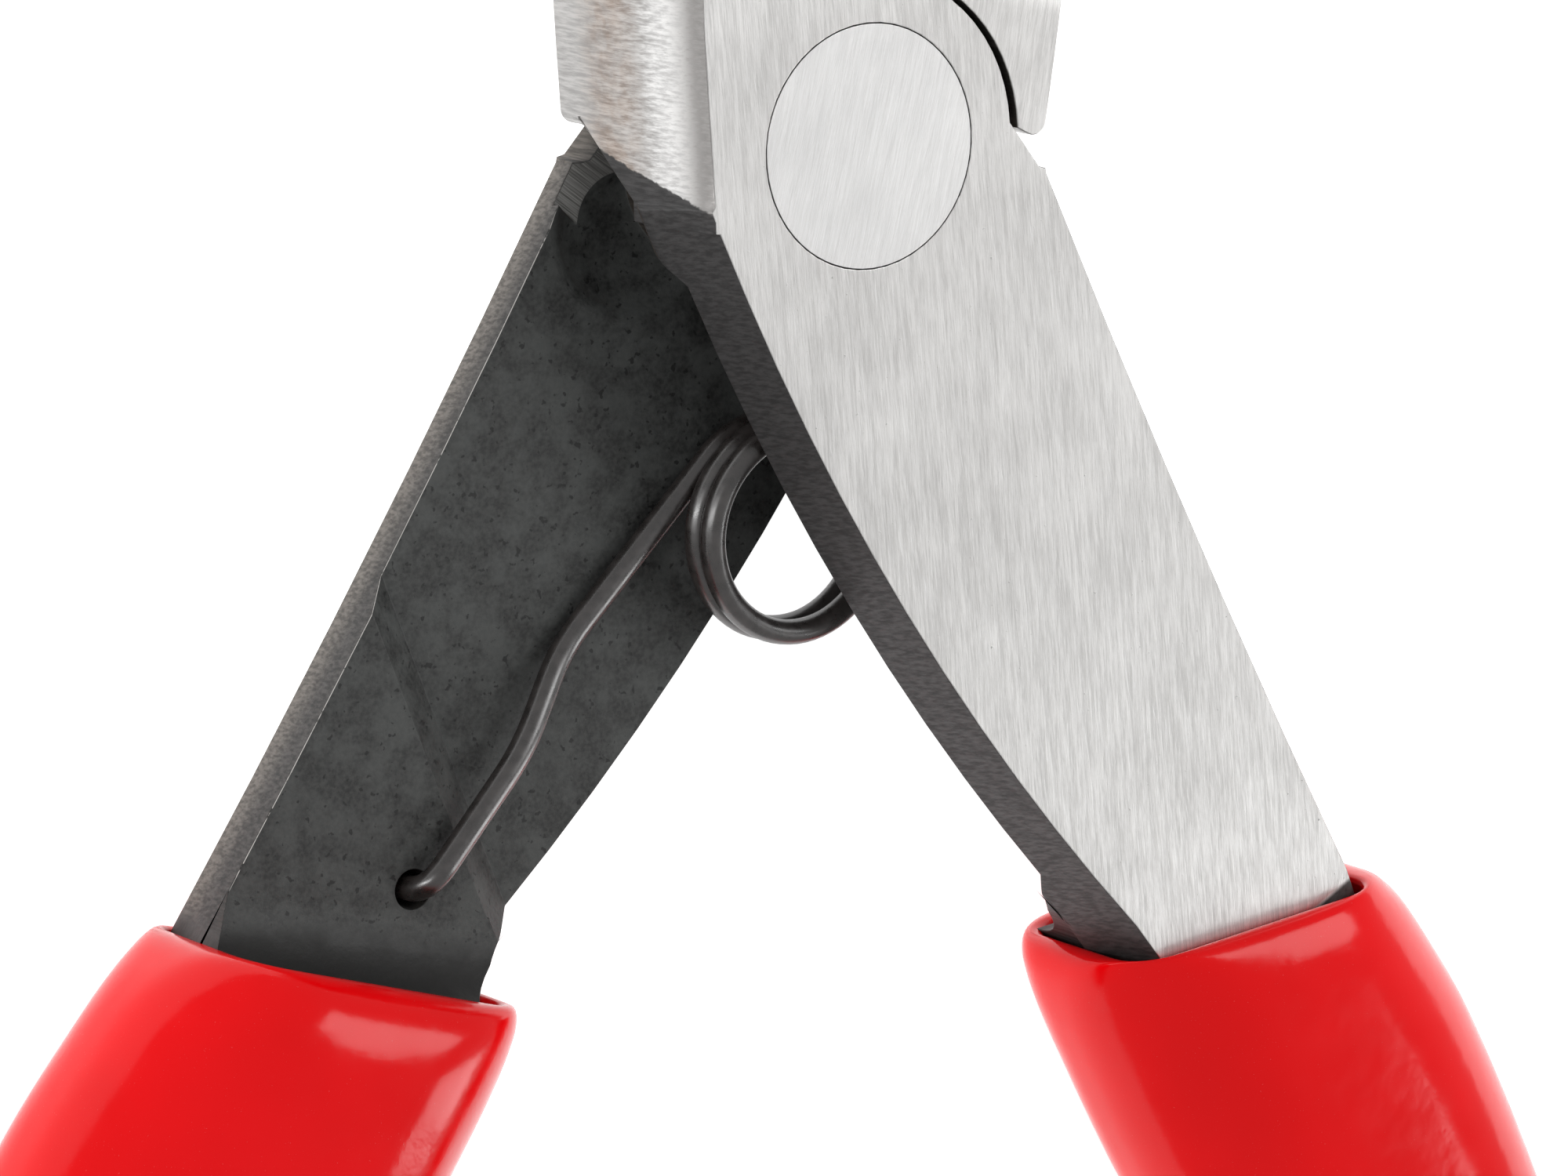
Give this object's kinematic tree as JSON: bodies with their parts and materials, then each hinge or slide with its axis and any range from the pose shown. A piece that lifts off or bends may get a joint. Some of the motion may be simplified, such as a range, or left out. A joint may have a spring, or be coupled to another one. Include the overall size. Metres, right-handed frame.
{
  "type": "flush cutter",
  "caption": "Small hand-held flush cutter with a riveted lap joint, a torsion return spring between the handles and slip-on sleeves on the tangs.",
  "frame": {"origin": "centre of the pivot on the outer face of the back half", "axes": "+Z along the pivot axis from the back half to the front half, +Y towards the jaws, +X to the right seen from the front half"},
  "size_m": [0.0942, 0.1087, 0.0116],
  "materials": {
    "forging": "ground bright on the outer faces and the head, black oxide with a brushed look elsewhere",
    "rivet": "ground flush with the faces",
    "spring_wire": "oiled dark spring wire",
    "grip": "glossy moulded red vinyl"
  },
  "bodies": {
    "back": {"back_half": "forging", "back_grip": "grip", "pivot_rivet": "rivet"},
    "front": {"front_half": "forging", "front_grip": "grip"},
    "spring_rear": {"spring_rear_arm": "spring_wire"},
    "spring_front": {"spring_front_arm": "spring_wire"}
  },
  "joints": [
    {"name": "handle_pivot", "type": "hinge", "parent": "back", "child": "front", "pos_m": [0, 0, 0.00435], "axis": [0, 0, -1], "range_deg": [0, 32], "stiffness_Nm_per_rad": 0.4, "springref_deg": -20.05},
    {"name": "spring_leg_pivot", "type": "hinge", "parent": "back", "child": "spring_rear", "pos_m": [-0.0156, -0.02725, 0.00435], "axis": [0, 0, 1], "range_deg": [0, 13.5]},
    {"name": "spring_coil", "type": "hinge", "parent": "spring_rear", "child": "spring_front", "pos_m": [0, -0.01468, 0.00435], "axis": [0, 0, -1], "range_deg": [0, 59], "deforming": ["spring_rear_arm", "spring_front_arm"]}
  ],
  "couplings": [
    {"joint": "spring_leg_pivot", "follows": "handle_pivot", "ratio": 0.411},
    {"joint": "spring_coil", "follows": "handle_pivot", "ratio": 1.822}
  ]
}
